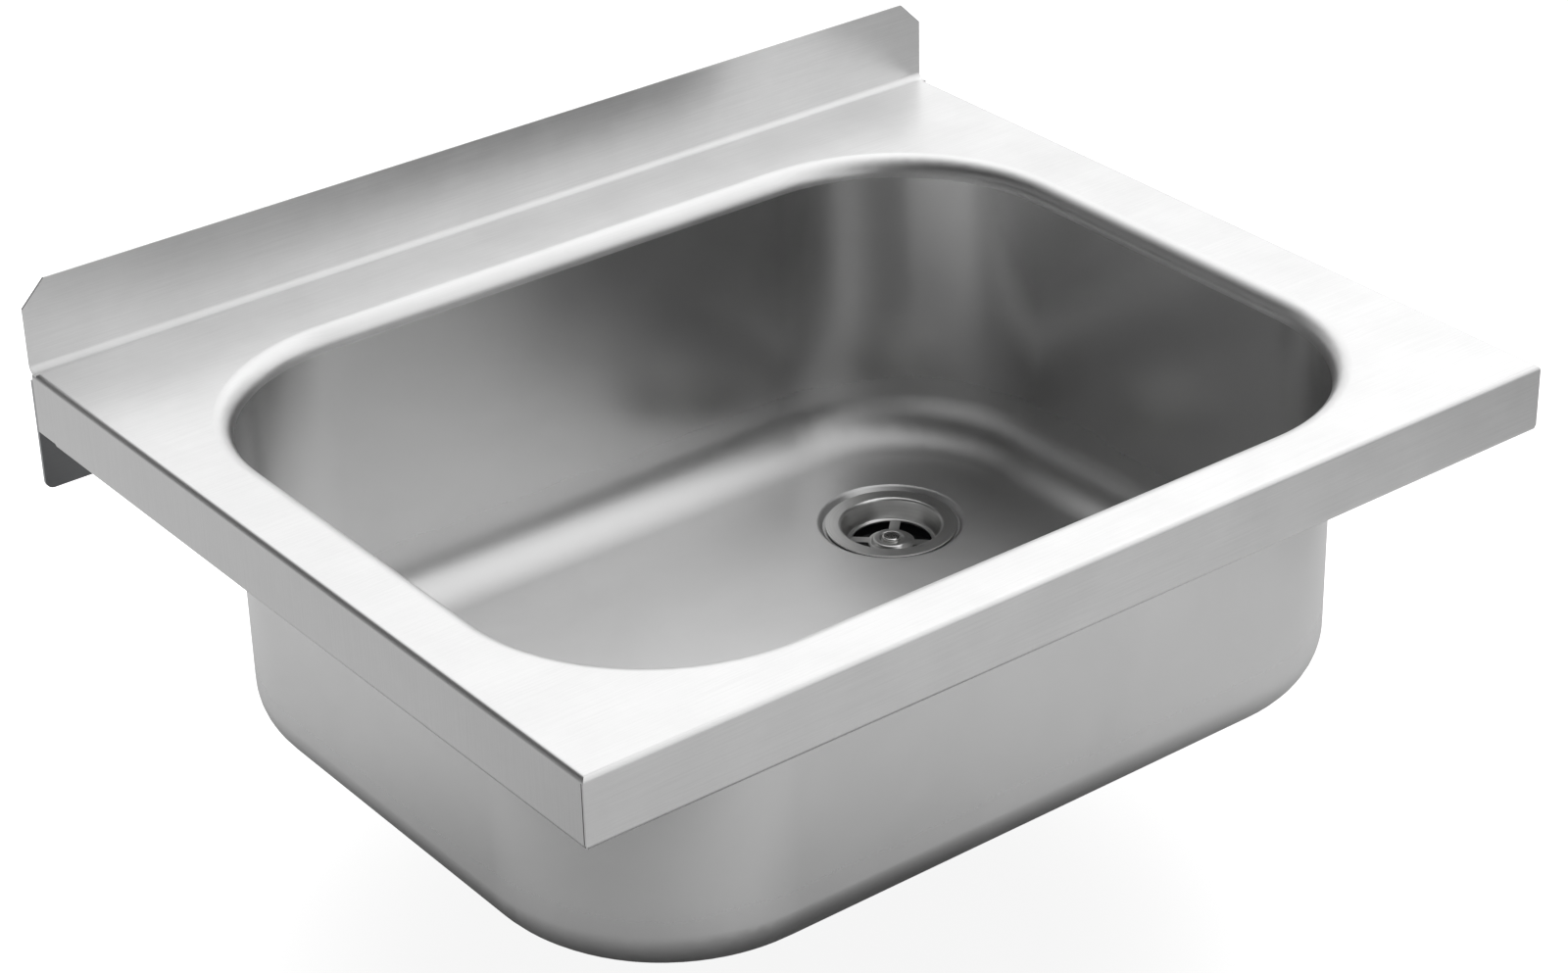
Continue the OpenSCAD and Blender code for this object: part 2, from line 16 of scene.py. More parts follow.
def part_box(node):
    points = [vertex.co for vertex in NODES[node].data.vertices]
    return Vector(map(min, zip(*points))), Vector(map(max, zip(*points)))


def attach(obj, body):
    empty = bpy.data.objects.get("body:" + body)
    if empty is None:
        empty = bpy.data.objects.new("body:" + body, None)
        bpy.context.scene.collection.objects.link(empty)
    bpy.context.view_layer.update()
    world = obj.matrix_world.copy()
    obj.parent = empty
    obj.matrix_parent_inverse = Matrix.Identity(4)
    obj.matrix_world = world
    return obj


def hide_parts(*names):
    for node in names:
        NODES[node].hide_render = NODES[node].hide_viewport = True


bl_info = {
    "name": "Slop sink",
    "version": (1, 0, 0),
    "blender": (4, 5, 0),
    "location": "3D View > Sidebar > Sink",
    "description": "Finishes, stage and camera for a wall-hung stainless steel slop sink",
    "category": "Object",
}

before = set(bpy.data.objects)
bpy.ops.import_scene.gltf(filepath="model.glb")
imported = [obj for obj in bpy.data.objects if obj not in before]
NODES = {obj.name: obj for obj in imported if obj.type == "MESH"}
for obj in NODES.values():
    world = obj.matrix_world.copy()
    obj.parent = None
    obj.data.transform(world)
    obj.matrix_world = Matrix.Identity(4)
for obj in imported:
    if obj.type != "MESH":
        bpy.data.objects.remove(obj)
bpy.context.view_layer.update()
MM = 0.001
# points that are closer than this are one point
MERGE = 0.001 * MM
# a noise texture stays almost wholly between these two values
NOISE_LOW, NOISE_HIGH = 0.3, 0.7
# a map range that eases in and out, and a mix that darkens one colour by another
EASED = {"interpolation_type": "SMOOTHSTEP"}
DARKEN = {"data_type": "RGBA", "blend_type": "MULTIPLY"}
WHITE = (1, 1, 1, 1)


def linear(hex_colour):
    """sRGB hex text to a linear colour with alpha 1."""
    parts = [int(hex_colour[i : i + 2], 16) / 255 for i in (1, 3, 5)]
    return [c / 12.92 if c <= 0.04045 else ((c + 0.055) / 1.055) ** 2.4 for c in parts] + [1.0]


def add(tree, kind, settings=None, **inputs):
    """Adds a shader node. settings are its attributes; inputs are values or sockets to link.

    An input is named as its socket is, with _ for a space, or i and its number.
    """
    node = tree.nodes.new(kind)
    for name, value in (settings or {}).items():
        setattr(node, name, value)
    for name, value in inputs.items():
        key = int(name[1:]) if name[0] == "i" and name[1:].isdigit() else name.replace("_", " ")
        socket = node.inputs[key]
        if isinstance(value, bpy.types.NodeSocket):
            tree.links.new(value, socket)
        else:
            socket.default_value = value
    return node


def new_material(name):
    """A node material with a Principled shader, and its tree and shader."""
    material = bpy.data.materials.new(name)
    material.use_nodes = True
    shader = material.node_tree.nodes["Principled BSDF"]
    return material, material.node_tree, shader


def link_surface(tree, shader, colour, tone, roughness, bump=None):
    """Links a shader to a colour that a tone darkens, to a roughness and to a fine relief."""
    tint = add(tree, "ShaderNodeMix", DARKEN, i0=1.0, i6=linear(colour), i7=tone.outputs[0])
    tree.links.new(tint.outputs[2], shader.inputs["Base Color"])
    tree.links.new(roughness.outputs[0], shader.inputs["Roughness"])
    if bump:
        tree.links.new(bump.outputs[0], shader.inputs["Normal"])


def cover(obj, material):
    """Gives an object one material and smooth shading."""
    obj.data.materials.clear()
    obj.data.materials.append(material)
    for polygon in obj.data.polygons:
        polygon.material_index = 0
        polygon.use_smooth = True


def even_normals(obj, split_deg=32):
    """Joins the tessellated faces and lets the widest set the normals, so bends shade smoothly."""
    weld = obj.modifiers.new("join_faces", "WELD")
    weld.merge_threshold = MERGE
    split = obj.modifiers.new("sharp_edges", "EDGE_SPLIT")
    split.split_angle = math.radians(split_deg)
    split.use_edge_sharp = False
    normals = obj.modifiers.new("sheet_normals", "WEIGHTED_NORMAL")
    normals.mode = "FACE_AREA"
    normals.weight = 100
    normals.keep_sharp = True


def dress(node_name, material):
    """Gives a CAD node's object its finish."""
    cover(NODES[node_name], material)
    even_normals(NODES[node_name])


def thread_radius(crest, depth, pitch, height, angle):
    """Radius of a rounded single-start thread at a height and an angle round its axis."""
    phase = height / pitch - angle / math.tau
    return crest - depth * (0.5 + 0.5 * math.cos(math.tau * phase))


def thread_rows(crest, depth, pitch, start, stop, run_out, rows_per_turn=10):
    """Rows of a thread from start to stop, which runs out over run_out at its start.

    At its stop, where the screw or pipe ends, it comes in over one pitch.
    """

    def row(height, grown):
        return (lambda angle: thread_radius(crest, depth * grown, pitch, height, angle), height)

    rows = []
    count = round(abs(stop - start) / pitch * rows_per_turn)
    for i in range(1, count):
        height = start + (stop - start) * i / count
        grown = min(1.0, abs(height - start) / run_out, abs(height - stop) / pitch)
        rows.append(row(height, grown))
    return rows


def spin(shape, loop, place, steps):
    """Spins a closed loop of (radius, height) about an axis. A radius may depend on the angle."""
    rings = []
    for i in range(steps):
        angle = math.tau * i / steps
        ring = []
        for radius, height in loop:
            r = radius(angle) if callable(radius) else radius
            point = Vector((r * math.cos(angle), r * math.sin(angle), height))
            ring.append(shape.verts.new(place @ point))
        rings.append(ring)
    for i in range(steps):
        here, there = rings[i], rings[(i + 1) % steps]
        for j in range(len(loop)):
            k = (j + 1) % len(loop)
            shape.faces.new((here[j], there[j], there[k], here[k]))


def to_scene(name, shape):
    """Turns a built shape into an object of the scene."""
    mesh = bpy.data.meshes.new(name)
    shape.to_mesh(mesh)
    shape.free()
    obj = bpy.data.objects.new(name, mesh)
    bpy.context.scene.collection.objects.link(obj)
    return obj


def finished_piece(name, shape, material, node_name):
    """Turns a built shape into a piece that stands in for a CAD node, with its finish and slot."""
    bmesh.ops.remove_doubles(shape, verts=shape.verts, dist=MERGE)
    bmesh.ops.dissolve_degenerate(shape, edges=shape.edges, dist=MERGE)
    bmesh.ops.recalc_face_normals(shape, faces=shape.faces)
    obj = to_scene(name, shape)
    cover(obj, material)
    even_normals(obj, split_deg=40)
    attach(obj, "root")
    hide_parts(node_name)


class SINK_PG_finish(bpy.types.PropertyGroup):
    """Colours and grain of the sink's finishes."""

    deck_steel: StringProperty(
        name="Deck steel", description="Colour of the brushed sheet, sRGB hex", default="#E2E2E2"
    )
    bowl_steel: StringProperty(
        name="Bowl steel", description="Colour of the drawn bowl, sRGB hex", default="#D9D9D9"
    )
    # the rail's colour is darker than the deck's: painted shade for the shade under the deck
    rail_steel: StringProperty(
        name="Rail steel", description="Colour of the wall rail, sRGB hex", default="#A9AAAC"
    )
    strainer_steel: StringProperty(
        name="Strainer steel", description="Colour of the pressed strainer, sRGB hex",
        default="#DEDEDD",
    )
    screw_steel: StringProperty(
        name="Screw steel", description="Colour of the clamp screw, sRGB hex", default="#DCDCDA"
    )
    brass: StringProperty(
        name="Brass", description="Colour of the insert and the earth nut, sRGB hex",
        default="#C7A45A",
    )
    zinc: StringProperty(
        name="Zinc", description="Colour of the earth screw and its washers, sRGB hex",
        default="#C9CCD0",
    )
    plastic: StringProperty(
        name="Plastic", description="Colour of the waste body, sRGB hex", default="#2A2A2C"
    )
    rubber: StringProperty(
        name="Rubber", description="Colour of the seals, sRGB hex", default="#1E1E20"
    )
    felt: StringProperty(
        name="Felt", description="Colour of the damping pad, sRGB hex", default="#3A3A3C"
    )
    grain_width: FloatProperty(
        name="Grain width", description="Width of one brushed line", default=1.1 * MM,
        min=0.1 * MM, max=3 * MM, unit="LENGTH",
    )
    grain_length: FloatProperty(
        name="Grain length", description="Length of one brushed line", default=60 * MM,
        min=5 * MM, max=300 * MM, unit="LENGTH",
    )


class SINK_PG_waste(bpy.types.PropertyGroup):
    """Sizes of the moulded waste body, as the CAD model has them, and of its pipe thread."""

    flange_thick: FloatProperty(
        name="Flange thickness", description="Thickness of the flange", default=5 * MM,
        unit="LENGTH",
    )
    cup_radius: FloatProperty(
        name="Cup radius", description="Inner radius of the cup", default=31 * MM, unit="LENGTH"
    )
    cup_wall: FloatProperty(
        name="Wall", description="Wall of the cup", default=3 * MM, unit="LENGTH"
    )
    cup_depth: FloatProperty(
        name="Cup depth", description="Depth of the upright part of the cup", default=18 * MM,
        unit="LENGTH",
    )
    outlet_radius: FloatProperty(
        name="Outlet radius", description="Outer radius of the outlet thread", default=23.9 * MM,
        unit="LENGTH",
    )
    bore_radius: FloatProperty(
        name="Bore radius", description="Radius of the outlet's bore", default=19.5 * MM,
        unit="LENGTH",
    )
    outlet_length: FloatProperty(
        name="Outlet length", description="Length of the threaded outlet", default=24 * MM,
        unit="LENGTH",
    )
    outlet_bevel: FloatProperty(
        name="Outlet bevel", description="Bevel at the outlet's end", default=1.2 * MM,
        unit="LENGTH",
    )
    edge_bevel: FloatProperty(
        name="Flange bevel", description="Bevel round the flange's edges", default=0.5 * MM,
        unit="LENGTH",
    )
    thread_pitch: FloatProperty(
        name="Thread pitch", description="Pitch of an inch-and-a-half pipe thread",
        default=2.309 * MM, unit="LENGTH",
    )
    thread_depth: FloatProperty(
        name="Thread depth", description="Depth of the pipe thread", default=1.479 * MM,
        unit="LENGTH",
    )
    run_out: FloatProperty(
        name="Run-out", description="Length over which the thread fades towards the cup",
        default=3 * MM, unit="LENGTH",
    )
    boss_radius: FloatProperty(
        name="Boss radius", description="Radius of the boss", default=7.5 * MM, unit="LENGTH"
    )
    boss_top: FloatProperty(
        name="Boss top", description="Plastic of the boss above the insert", default=3 * MM,
        unit="LENGTH",
    )
    boss_bore: FloatProperty(
        name="Boss bore", description="Radius of the screw's hole in the boss", default=3.15 * MM,
        unit="LENGTH",
    )
    insert_radius: FloatProperty(
        name="Insert pocket", description="Radius of the insert's pocket", default=4.55 * MM,
        unit="LENGTH",
    )
    insert_length: FloatProperty(
        name="Insert length", description="Length of the insert", default=12 * MM, unit="LENGTH"
    )
    rib_thick: FloatProperty(
        name="Rib", description="Thickness of the ribs", default=3 * MM, unit="LENGTH"
    )
    rib_step: FloatProperty(
        name="Rib step", description="Step from the boss's ends to its ribs", default=1 * MM,
        unit="LENGTH",
    )


class SINK_PG_earth(bpy.types.PropertyGroup):
    """Sizes of the earth screw."""

    flats: FloatProperty(
        name="Across flats", description="Width across the head's flats", default=10 * MM,
        unit="LENGTH",
    )
    head_height: FloatProperty(
        name="Head height", description="Height of the head", default=4 * MM, unit="LENGTH"
    )
    head_chamfer: FloatProperty(
        name="Head chamfer", description="Height of the chamfer on the head", default=0.5 * MM,
        unit="LENGTH",
    )
    thread_radius: FloatProperty(
        name="Thread radius", description="Outer radius of the thread", default=3 * MM,
        unit="LENGTH",
    )
    thread_pitch: FloatProperty(
        name="Thread pitch", description="Pitch of the metric thread", default=1 * MM,
        unit="LENGTH",
    )
    thread_depth: FloatProperty(
        name="Thread depth", description="Depth of the metric thread", default=0.61 * MM,
        unit="LENGTH",
    )
    run_out: FloatProperty(
        name="Run-out", description="Length over which the thread fades towards the head",
        default=2 * MM, unit="LENGTH",
    )
    end_bevel: FloatProperty(
        name="End bevel", description="Bevel at the screw's end", default=0.6 * MM, unit="LENGTH"
    )


class SINK_PG_stage(bpy.types.PropertyGroup):
    """Floor, ceiling, drape and camera."""

    floor_colour: StringProperty(
        name="Floor colour", description="Colour of the studio floor, sRGB hex", default="#F0F0F0"
    )
    # the floor's dark side is painted shade in its colour
    painted_shade_colour: StringProperty(
        name="Dark floor colour", description="Colour of the floor's dark side, sRGB hex",
        default="#949494",
    )
    floor_height: FloatProperty(
        name="Floor height", description="Height of the floor", default=-0.28, unit="LENGTH"
    )
    ceiling_height: FloatProperty(
        name="Ceiling height", description="Height of the silk ceiling", default=2.0, unit="LENGTH"
    )
    ceiling_light: FloatProperty(
        name="Ceiling light", description="Brightness of the silk ceiling on its bright side",
        default=1.45, min=0, max=3,
    )
    bright_side: FloatProperty(
        name="Bright side", description="Direction in which the ceiling is brightest, from x",
        default=math.radians(8), subtype="ANGLE",
    )
    floor_turn: FloatProperty(
        name="Floor turn", description="How much further the floor's bright side is turned",
        default=math.radians(18), subtype="ANGLE",
    )
    drape_colour: StringProperty(
        name="Drape colour", description="Colour of the drape behind the camera, sRGB hex",
        default="#A0A0A0",
    )
    camera_place: FloatVectorProperty(
        name="Camera place", description="Place of the camera", size=3, subtype="TRANSLATION",
        default=(-1.04603, -1.6340, 0.9442),
    )
    camera_forward: FloatVectorProperty(
        name="Camera direction", description="Direction in which the camera looks", size=3,
        subtype="DIRECTION", default=(0.52769133, 0.69735437, -0.48501417),
    )
    camera_right: FloatVectorProperty(
        name="Camera right", description="Direction of the picture's right side", size=3,
        subtype="DIRECTION", default=(0.78973418, -0.61304681, -0.02221584),
    )
    lens: FloatProperty(
        name="Lens", description="Focal length on a 36 mm sensor, in millimetres", default=86.725,
        min=20, max=300,
    )


# A denoised render breaks a fine pattern of roughness into patches where it crosses 0.274. So each
# finish stays on one side of that value, apart from the bowl's slow change from wall to floor.


def brushed_sheet(
    name, colour, rough=0.33, streak=0.06, relief=0.005 * MM, stretch_gloss=0.6, bend_dull=0.15
):
    """Cold-rolled stainless sheet, brushed with a belt along x before it was folded.

    The eye sees fine lines along the width, a gloss that is smeared across them, faint clouds and
    bends that are a little duller than the flats. Real belt lines are a tenth of a millimetre
    wide, and these are drawn coarser so that they show.
    """
    line_tone, cloud_tone, cloud_size = 0.94, 0.93, 45 * MM
    grain_low, grain_high = 0.25, 0.75
    cloud_gloss, cloud_dull = -0.01, 0.02
    finish = bpy.context.scene.sink_finish
    material, tree, shader = new_material(name)
    place = add(tree, "ShaderNodeTexCoord")
    at = add(tree, "ShaderNodeSeparateXYZ", i0=place.outputs["Object"])
    facing = add(tree, "ShaderNodeSeparateXYZ", i0=place.outputs["Normal"])
    side = add(tree, "ShaderNodeMath", {"operation": "ABSOLUTE"}, i0=facing.outputs["X"])
    # the grain follows the sheet over its folds: up and down on the sides, level on the rest
    down = add(
        tree, "ShaderNodeMath", {"operation": "MULTIPLY"}, i0=at.outputs["Z"], i1=side.outputs[0]
    )
    along = add(
        tree, "ShaderNodeMath", {"operation": "ADD"}, i0=at.outputs["X"], i1=down.outputs[0]
    )
    rest = add(
        tree, "ShaderNodeMath", {"operation": "SUBTRACT"}, i0=at.outputs["Z"], i1=down.outputs[0]
    )
    across = add(
        tree, "ShaderNodeMath", {"operation": "ADD"}, i0=at.outputs["Y"], i1=rest.outputs[0]
    )
    sheet = add(tree, "ShaderNodeCombineXYZ", X=along.outputs[0], Y=across.outputs[0])
    stretch = add(
        tree, "ShaderNodeVectorMath", {"operation": "MULTIPLY"}, i0=sheet.outputs[0],
        i1=(1 / finish.grain_length, 1 / finish.grain_width, 1),
    )
    grain = add(
        tree, "ShaderNodeTexNoise", {"noise_dimensions": "2D"}, Vector=stretch.outputs[0],
        Scale=1.0, Detail=4.0, Roughness=0.65,
    )
    clouds = add(
        tree, "ShaderNodeTexNoise", Vector=place.outputs["Object"], Scale=1 / cloud_size,
        Detail=4.0, Roughness=0.6,
    )
    lines = add(
        tree, "ShaderNodeMapRange", Value=grain.outputs["Fac"], From_Min=NOISE_LOW,
        From_Max=NOISE_HIGH, To_Min=line_tone, To_Max=1.0,
    )
    veil = add(
        tree, "ShaderNodeMapRange", Value=clouds.outputs["Fac"], From_Min=NOISE_LOW,
        From_Max=NOISE_HIGH, To_Min=cloud_tone, To_Max=1.0,
    )
    tone = add(
        tree, "ShaderNodeMath", {"operation": "MULTIPLY"}, i0=lines.outputs[0], i1=veil.outputs[0]
    )
    shine = add(
        tree, "ShaderNodeMapRange", Value=grain.outputs["Fac"], From_Min=grain_low,
        From_Max=grain_high, To_Min=rough - streak / 2, To_Max=rough + streak / 2,
    )
    cloudy = add(
        tree, "ShaderNodeMapRange", Value=clouds.outputs["Fac"], From_Min=NOISE_LOW,
        From_Max=NOISE_HIGH, To_Min=cloud_gloss, To_Max=cloud_dull,
    )
    sheen = add(
        tree, "ShaderNodeMath", {"operation": "ADD"}, i0=shine.outputs[0], i1=cloudy.outputs[0]
    )
    # bending stretches the sheet's skin and dulls it: most where it leans at 45 degrees, where
    # the product of the level and the upright part is a quarter
    level_part = add(
        tree, "ShaderNodeMath", {"operation": "MULTIPLY"}, i0=facing.outputs["Z"],
        i1=facing.outputs["Z"],
    )
    upright_part = add(
        tree, "ShaderNodeMath", {"operation": "SUBTRACT"}, i0=1.0, i1=level_part.outputs[0]
    )
    bent = add(
        tree, "ShaderNodeMath", {"operation": "MULTIPLY"}, i0=level_part.outputs[0],
        i1=upright_part.outputs[0],
    )
    roughness = add(
        tree, "ShaderNodeMath", {"operation": "MULTIPLY_ADD"}, i0=bent.outputs[0],
        i1=4 * bend_dull, i2=sheen.outputs[0],
    )
    bump = add(
        tree, "ShaderNodeBump", Strength=1.0, Distance=relief, Height=grain.outputs["Fac"]
    )
    # the gloss is smeared across the grain, in the plane of y and z
    towards_wall = add(tree, "ShaderNodeMath", {"operation": "ABSOLUTE"}, i0=facing.outputs["Y"])
    flat = add(
        tree, "ShaderNodeMath", {"operation": "SUBTRACT"}, i0=1.0, i1=towards_wall.outputs[0]
    )
    smear = add(tree, "ShaderNodeCombineXYZ", Y=flat.outputs[0], Z=towards_wall.outputs[0])
    shader.inputs["Metallic"].default_value = 1.0
    shader.inputs["Anisotropic"].default_value = stretch_gloss
    tree.links.new(smear.outputs[0], shader.inputs["Tangent"])
    link_surface(tree, shader, colour, tone, roughness, bump)
    return material


def drawn_bowl(name, colour, rough=0.235, floor_rough=0.43):
    """Stainless sheet after deep drawing and a satin polish.

    The eye sees blurred reflections, cloudy patches where the sheet stretched, and faint lines
    that run down the walls. The die irons the walls, and the floor keeps the sheet's duller skin.
    Real drawing lines are finer, and these are drawn coarser so that they show.
    """
    cloud_tone, cloud_size, cloud_gloss, cloud_dull = 0.93, 80 * MM, 0.01, 0.02
    line_width, line_length, line_dull = 1.1 * MM, 45 * MM, 0.01
    ironed_from, ironed_to = -120 * MM, -80 * MM
    material, tree, shader = new_material(name)
    place = add(tree, "ShaderNodeTexCoord")
    clouds = add(
        tree, "ShaderNodeTexNoise", Vector=place.outputs["Object"], Scale=1 / cloud_size,
        Detail=4.0, Roughness=0.55, Distortion=0.6,
    )
    stretch = add(
        tree, "ShaderNodeVectorMath", {"operation": "MULTIPLY"}, i0=place.outputs["Object"],
        i1=(1 / line_width, 1 / line_width, 1 / line_length),
    )
    lines = add(
        tree, "ShaderNodeTexNoise", Vector=stretch.outputs[0], Scale=1.0, Detail=3.0,
        Roughness=0.6,
    )
    tone = add(
        tree, "ShaderNodeMapRange", Value=clouds.outputs["Fac"], From_Min=NOISE_LOW,
        From_Max=NOISE_HIGH, To_Min=cloud_tone, To_Max=1.0,
    )
    shine = add(
        tree, "ShaderNodeMapRange", Value=clouds.outputs["Fac"], From_Min=NOISE_LOW,
        From_Max=NOISE_HIGH, To_Min=rough - cloud_gloss, To_Max=rough + cloud_dull,
    )
    fine = add(
        tree, "ShaderNodeMapRange", Value=lines.outputs["Fac"], From_Min=NOISE_LOW,
        From_Max=NOISE_HIGH, To_Min=0.0, To_Max=line_dull,
    )
    ironed = add(
        tree, "ShaderNodeMath", {"operation": "ADD"}, i0=shine.outputs[0], i1=fine.outputs[0]
    )
    at = add(tree, "ShaderNodeSeparateXYZ", i0=place.outputs["Object"])
    dull = add(
        tree, "ShaderNodeMapRange", EASED, Value=at.outputs["Z"], From_Min=ironed_from,
        From_Max=ironed_to, To_Min=floor_rough - rough, To_Max=0.0,
    )
    roughness = add(
        tree, "ShaderNodeMath", {"operation": "ADD"}, i0=ironed.outputs[0], i1=dull.outputs[0]
    )
    shader.inputs["Metallic"].default_value = 1.0
    link_surface(tree, shader, colour, tone, roughness)
    return material


def turned_metal(name, colour, rough, node_name, across=(1, 1, 0)):
    """Bright metal that was spun, turned or plated, and polished round its own axis.

    The eye sees fine rings round the axis and a slightly uneven gloss. The axis goes through the
    middle of the node, and across is 1 for the two directions square to it. Real rings are a
    tenth of a millimetre apart, and these are drawn coarser so that they show.
    """
    ring_step, ring_tone, ring_relief = 0.5 * MM, 0.92, 0.002 * MM
    speck_size, speck_gloss = 3 * MM, 0.03
    material, tree, shader = new_material(name)
    low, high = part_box(node_name)
    place = add(tree, "ShaderNodeTexCoord")
    speck = add(
        tree, "ShaderNodeTexNoise", Vector=place.outputs["Object"], Scale=1 / speck_size,
        Detail=3.0,
    )
    arm = add(
        tree, "ShaderNodeVectorMath", {"operation": "SUBTRACT"}, i0=place.outputs["Object"],
        i1=(low + high) / 2,
    )
    level = add(
        tree, "ShaderNodeVectorMath", {"operation": "MULTIPLY"}, i0=arm.outputs[0], i1=across
    )
    radius = add(tree, "ShaderNodeVectorMath", {"operation": "LENGTH"}, i0=level.outputs[0])
    count = add(
        tree, "ShaderNodeMath", {"operation": "DIVIDE"}, i0=radius.outputs["Value"], i1=ring_step
    )
    rings = add(
        tree, "ShaderNodeTexNoise", {"noise_dimensions": "1D"}, W=count.outputs[0], Scale=1.0,
        Detail=2.0,
    )
    tone = add(
        tree, "ShaderNodeMapRange", Value=rings.outputs["Fac"], From_Min=NOISE_LOW,
        From_Max=NOISE_HIGH, To_Min=ring_tone, To_Max=1.0,
    )
    shine = add(
        tree, "ShaderNodeMapRange", Value=speck.outputs["Fac"], From_Min=NOISE_LOW,
        From_Max=NOISE_HIGH, To_Min=rough - speck_gloss, To_Max=rough + speck_gloss,
    )
    bump = add(
        tree, "ShaderNodeBump", Strength=1.0, Distance=ring_relief, Height=rings.outputs["Fac"]
    )
    shader.inputs["Metallic"].default_value = 1.0
    link_surface(tree, shader, colour, tone, shine, bump)
    return material


def moulded(name, colour, rough, ior=1.5, grit=0.5 * MM, relief=0.02 * MM):
    """Moulded plastic, rubber or rolled bitumen.

    The eye sees a dull gloss and a fine grainy skin. The mould's real grit is a tenth of a
    millimetre, and it is drawn coarser so that it shows.
    """
    skin_tone, skin_gloss = 0.9, 0.04
    material, tree, shader = new_material(name)
    place = add(tree, "ShaderNodeTexCoord")
    skin = add(
        tree, "ShaderNodeTexNoise", Vector=place.outputs["Object"], Scale=1 / grit, Detail=3.0
    )
    tone = add(
        tree, "ShaderNodeMapRange", Value=skin.outputs["Fac"], From_Min=NOISE_LOW,
        From_Max=NOISE_HIGH, To_Min=skin_tone, To_Max=1.0,
    )
    shine = add(
        tree, "ShaderNodeMapRange", Value=skin.outputs["Fac"], From_Min=NOISE_LOW,
        From_Max=NOISE_HIGH, To_Min=rough - skin_gloss, To_Max=rough + skin_gloss,
    )
    bump = add(
        tree, "ShaderNodeBump", Strength=0.6, Distance=relief, Height=skin.outputs["Fac"]
    )
    shader.inputs["IOR"].default_value = ior
    link_surface(tree, shader, colour, tone, shine, bump)
    return material


class SINK_OT_deck(bpy.types.Operator):
    """Finish the folded deck with its rim and upstand"""

    bl_idname = "sink.deck"
    bl_label = "Deck"

    def execute(self, context):
        steel = context.scene.sink_finish.deck_steel
        dress("deck_sheet", brushed_sheet("brushed_stainless_sheet", steel))
        return {"FINISHED"}


class SINK_OT_bowl(bpy.types.Operator):
    """Finish the deep-drawn bowl"""

    bl_idname = "sink.bowl"
    bl_label = "Bowl"

    def execute(self, context):
        steel = context.scene.sink_finish.bowl_steel
        dress("bowl", drawn_bowl("satin_drawn_stainless", steel))
        return {"FINISHED"}


class SINK_OT_rail(bpy.types.Operator):
    """Finish the wall rail"""

    bl_idname = "sink.rail"
    bl_label = "Wall rail"

    def execute(self, context):
        # strip as the mill delivers it: duller than the deck, and darker in colour as painted shade
        # for the shade under the deck
        steel = context.scene.sink_finish.rail_steel
        dress("wall_rail", brushed_sheet("mill_finish_strip_painted_shade", steel, rough=0.36))
        return {"FINISHED"}


class SINK_OT_strainer(bpy.types.Operator):
    """Finish the strainer and its clamp screw"""

    bl_idname = "sink.strainer"
    bl_label = "Strainer"

    def execute(self, context):
        finish = context.scene.sink_finish
        # the pressing was polished to a soft gloss, and the screw is bright
        soft = turned_metal("polished_pressed_stainless", finish.strainer_steel, 0.31, "strainer")
        dress("strainer", soft)
        bright = turned_metal("bright_stainless_screw", finish.screw_steel, 0.16, "clamp_screw")
        dress("clamp_screw", bright)
        return {"FINISHED"}


